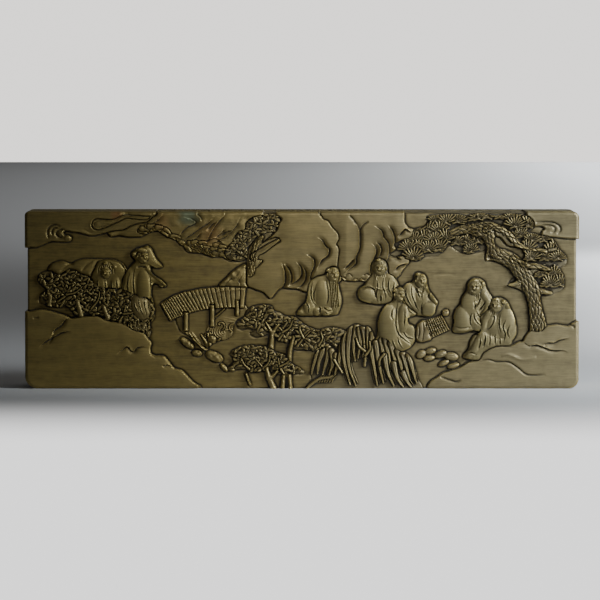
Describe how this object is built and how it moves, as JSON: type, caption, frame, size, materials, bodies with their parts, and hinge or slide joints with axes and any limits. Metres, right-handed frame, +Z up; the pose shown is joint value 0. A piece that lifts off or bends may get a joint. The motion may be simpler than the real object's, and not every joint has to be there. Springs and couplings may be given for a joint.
{
  "type": "ink stick",
  "caption": "Large display ink stick of pressed soot ink, brushed with bronze powder, carved in low relief with scholars, a pine, a plank bridge and clouds.",
  "frame": {"origin": "middle of the long lower side, on the surface the stick stands on", "axes": "+X along the stick to the viewer's right, -Y out of the carved face, +Z up across the stick"},
  "size_m": [0.2, 0.026, 0.064],
  "materials": {
    "block_ink": "satin",
    "cloud_gilt": "satin",
    "rock_gilt": "satin",
    "leaf_gilt": "satin",
    "wood_gilt": "satin",
    "figure_gilt": "satin",
    "trim_gilt": "satin"
  },
  "bodies": {
    "root": {"ink_body": "block_ink", "cloud_bank_left": "cloud_gilt", "cloud_wisp": "cloud_gilt", "cloud_bank_right": "cloud_gilt", "distant_mountains": "rock_gilt", "hill_tree_crown": "leaf_gilt", "hill_tree_trunk": "wood_gilt", "bank_stone": "rock_gilt", "great_rock": "rock_gilt", "cliff_rock": "rock_gilt", "round_hills": "rock_gilt", "left_thicket": "leaf_gilt", "attendant": "figure_gilt", "walking_scholar": "figure_gilt", "left_rock": "rock_gilt", "bridge_deck": "wood_gilt", "bridge_posts": "wood_gilt", "stream_water": "trim_gilt", "stream_stones": "rock_gilt", "grove_crown": "leaf_gilt", "grove_trunks": "wood_gilt", "shrub_crown": "leaf_gilt", "shrub_trunks": "wood_gilt", "long_leaf_clump": "leaf_gilt", "scholar_by_cliff": "figure_gilt", "scholar_with_knee_up": "figure_gilt", "scholar_facing_cup": "figure_gilt", "scholar_from_behind": "figure_gilt", "game_board": "trim_gilt", "rolled_mat": "trim_gilt", "cup": "trim_gilt", "scholar_listening": "figure_gilt", "scholar_on_rock": "figure_gilt", "foreground_stones": "rock_gilt", "right_rock": "rock_gilt", "pine_trunk": "wood_gilt", "pine_needles_left": "leaf_gilt", "pine_needles_top": "leaf_gilt", "pine_needles_right": "leaf_gilt", "pine_needles_low": "leaf_gilt", "back_border": "block_ink", "back_panel": "block_ink", "back_clouds": "block_ink"}
  },
  "joints": []
}
